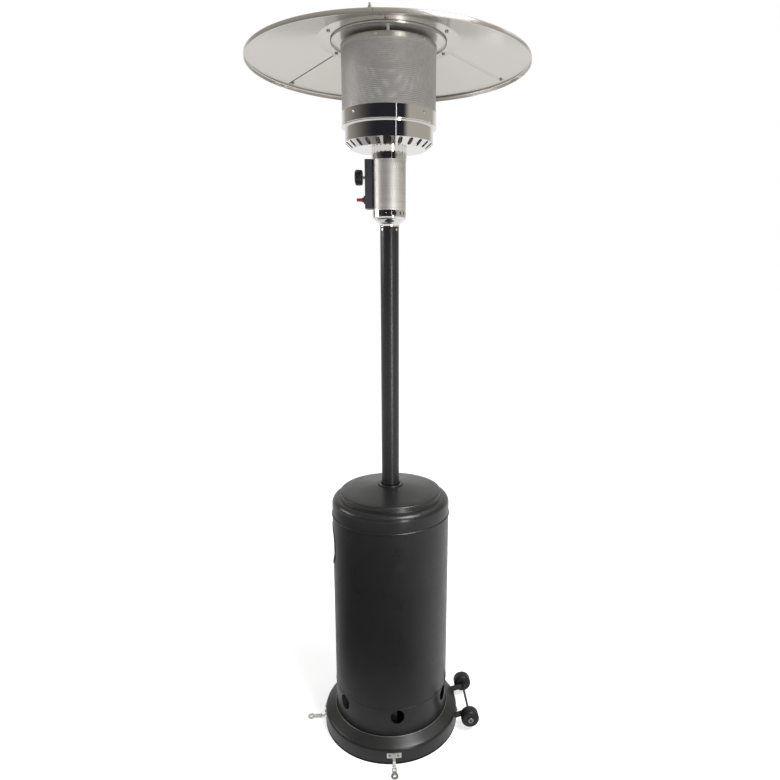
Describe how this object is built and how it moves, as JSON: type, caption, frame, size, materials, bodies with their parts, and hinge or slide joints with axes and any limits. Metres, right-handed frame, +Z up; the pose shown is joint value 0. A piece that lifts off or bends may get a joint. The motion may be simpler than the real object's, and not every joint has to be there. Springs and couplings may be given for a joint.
{
  "type": "patio heater",
  "caption": "Standing gas patio heater with a round base, lift-up bottle housing, slim pole, perforated burner head and wide flat reflector.",
  "frame": {"origin": "floor, at the middle of the base", "axes": "+Z up along the pole, the controls face -X, the wheels stand at +X"},
  "size_m": [0.8129, 0.813, 2.2288],
  "materials": {
    "black_coat": "satin",
    "zinc": "satin",
    "dark_steel": "satin",
    "tyre_black": "satin",
    "trim_black": "matte",
    "mirror_steel": "polished",
    "brushed_shell": "brushed",
    "box_black": "satin",
    "knob_black": "satin",
    "button_red": "gloss",
    "collar_grey": "matte",
    "brass_parts": "satin",
    "valve_metal": "satin",
    "ceramic_white": "satin",
    "heat_steel": "satin",
    "reflector_aluminium": "satin",
    "polished_disc": "polished"
  },
  "bodies": {
    "heater_frame": {"base_pan": "black_coat", "base_collar": "black_coat", "leg_1": "black_coat", "leg_2": "black_coat", "leg_3": "black_coat", "leg_bolts": "zinc", "pole_foot": "black_coat", "gas_inlet": "brass_parts", "gas_pipe": "valve_metal", "pole": "black_coat", "anchor_bracket_front": "zinc", "anchor_bracket_left": "zinc", "anchor_bracket_rear": "zinc", "anchor_pins": "zinc", "base_screws": "dark_steel", "wheel_arm_front": "black_coat", "wheel_arm_rear": "black_coat", "wheel_axle": "dark_steel", "axle_caps": "zinc", "head_spigot": "zinc", "head_cup": "mirror_steel", "lower_vent_ring": "mirror_steel", "control_shell": "brushed_shell", "upper_vent_ring": "mirror_steel", "control_box": "box_black", "gas_valve": "valve_metal", "igniter_body": "collar_grey", "igniter_collar": "collar_grey", "tilt_switch": "collar_grey", "gas_jet": "brass_parts", "pilot_tube": "brass_parts", "thermocouple": "brass_parts", "spark_electrode": "ceramic_white", "burner_bowl": "mirror_steel", "burner_band": "mirror_steel", "burner_deck": "heat_steel", "burner_drum": "heat_steel", "emitter_screen": "heat_steel", "screen_cap": "heat_steel", "head_screws": "zinc", "reflector_standoffs": "zinc", "reflector_disc": "polished_disc", "reflector_panel_1": "reflector_aluminium", "reflector_panel_2": "reflector_aluminium", "reflector_panel_3": "reflector_aluminium", "reflector_bolts": "dark_steel", "wing_nuts": "zinc"},
    "bottle_housing": {"tank_housing": "black_coat", "housing_lid": "black_coat", "hand_hole_trim": "trim_black"},
    "front_wheel": {"wheel_front": "tyre_black"},
    "rear_wheel": {"wheel_rear": "tyre_black"},
    "front_anchor_link": {"anchor_link_front": "zinc"},
    "left_anchor_link": {"anchor_link_left": "zinc"},
    "rear_anchor_link": {"anchor_link_rear": "zinc"},
    "knob_plunger": {"valve_plunger": "brass_parts"},
    "knob": {"control_knob": "knob_black", "valve_stem": "valve_metal"},
    "igniter_push": {"igniter_button": "button_red"}
  },
  "joints": [
    {"name": "housing_lift", "type": "slide", "parent": "heater_frame", "child": "bottle_housing", "axis": [0, 0, 1], "range_m": [0, 0.7]},
    {"name": "front_wheel_spin", "type": "hinge", "parent": "heater_frame", "child": "front_wheel", "pos_m": [0.271, -0.094, 0.05], "axis": [0, 1, 0], "continuous": true},
    {"name": "rear_wheel_spin", "type": "hinge", "parent": "heater_frame", "child": "rear_wheel", "pos_m": [0.271, 0.094, 0.05], "axis": [0, 1, 0], "continuous": true},
    {"name": "front_anchor_swing", "type": "hinge", "parent": "heater_frame", "child": "front_anchor_link", "pos_m": [0, -0.254, 0.0046], "axis": [-1, 0, 0], "range_deg": [0, 90]},
    {"name": "left_anchor_swing", "type": "hinge", "parent": "heater_frame", "child": "left_anchor_link", "pos_m": [-0.254, 0, 0.0046], "axis": [0, 1, 0], "range_deg": [0, 90]},
    {"name": "rear_anchor_swing", "type": "hinge", "parent": "heater_frame", "child": "rear_anchor_link", "pos_m": [0, 0.254, 0.0046], "axis": [1, 0, 0], "range_deg": [0, 90]},
    {"name": "knob_push", "type": "slide", "parent": "heater_frame", "child": "knob_plunger", "axis": [0.9925, -0.1219, 0], "range_m": [0, 0.004], "stiffness_N_per_m": 1500, "springref_m": -0.002},
    {"name": "knob_turn", "type": "hinge", "parent": "knob_plunger", "child": "knob", "pos_m": [-0.08933, 0.01097, 1.85], "axis": [-0.9925, 0.1219, 0], "range_deg": [0, 180]},
    {"name": "igniter_press", "type": "slide", "parent": "heater_frame", "child": "igniter_push", "axis": [0.9925, -0.1219, 0], "range_m": [0, 0.006], "stiffness_N_per_m": 1000, "springref_m": -0.002}
  ]
}
